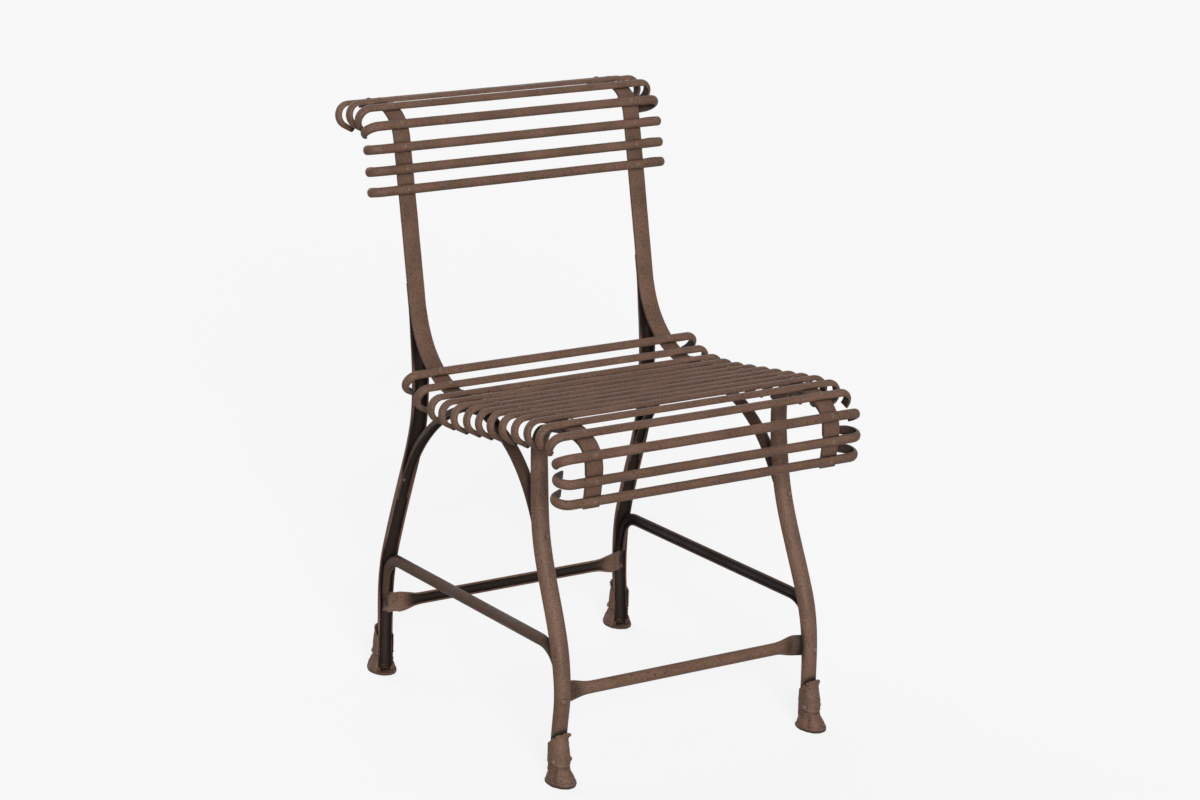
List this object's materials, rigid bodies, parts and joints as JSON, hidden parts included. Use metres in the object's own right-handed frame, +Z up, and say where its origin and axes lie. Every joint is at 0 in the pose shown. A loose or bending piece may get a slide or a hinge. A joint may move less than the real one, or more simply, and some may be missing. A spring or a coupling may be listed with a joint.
{
  "type": "wrought iron garden dining chair",
  "caption": "Riveted iron chair with hooked half-round slats on two bent side bars, hollow half-round legs on cast hoof feet, side arches and stretchers.",
  "frame": {"origin": "middle of the chair's footprint box at floor level", "axes": "+Z up, -Y the way the sitter faces, +X to the right when looking along +Y at the front of the chair"},
  "size_m": [0.4656, 0.5916, 0.7963],
  "materials": {
    "slat_paint": "satin",
    "frame_paint": "satin",
    "cast_foot_paint": "satin",
    "rivet_paint": "satin"
  },
  "bodies": {
    "root": {"apron_slat_1": "slat_paint", "apron_slat_2": "slat_paint", "apron_slat_3": "slat_paint", "apron_slat_4": "slat_paint", "apron_slat_rivets": "rivet_paint", "arch_rivets": "rivet_paint", "back_slat_1": "slat_paint", "back_slat_2": "slat_paint", "back_slat_3": "slat_paint", "back_slat_4": "slat_paint", "back_slat_5": "slat_paint", "back_slat_6": "slat_paint", "back_slat_7": "slat_paint", "back_slat_rivets": "rivet_paint", "front_hoof_left": "cast_foot_paint", "front_hoof_right": "cast_foot_paint", "front_leg_left": "frame_paint", "front_leg_right": "frame_paint", "front_stretcher": "frame_paint", "rear_hoof_left": "cast_foot_paint", "rear_hoof_right": "cast_foot_paint", "rear_leg_left": "frame_paint", "rear_leg_right": "frame_paint", "rear_stretcher": "frame_paint", "seat_arch_left": "frame_paint", "seat_arch_right": "frame_paint", "seat_slat_1": "slat_paint", "seat_slat_10": "slat_paint", "seat_slat_11": "slat_paint", "seat_slat_12": "slat_paint", "seat_slat_2": "slat_paint", "seat_slat_3": "slat_paint", "seat_slat_4": "slat_paint", "seat_slat_5": "slat_paint", "seat_slat_6": "slat_paint", "seat_slat_7": "slat_paint", "seat_slat_8": "slat_paint", "seat_slat_9": "slat_paint", "seat_slat_rivets": "rivet_paint", "side_bar_left": "frame_paint", "side_bar_right": "frame_paint", "side_stretcher_left": "frame_paint", "side_stretcher_right": "frame_paint", "stretcher_rivets": "rivet_paint"}
  },
  "joints": []
}
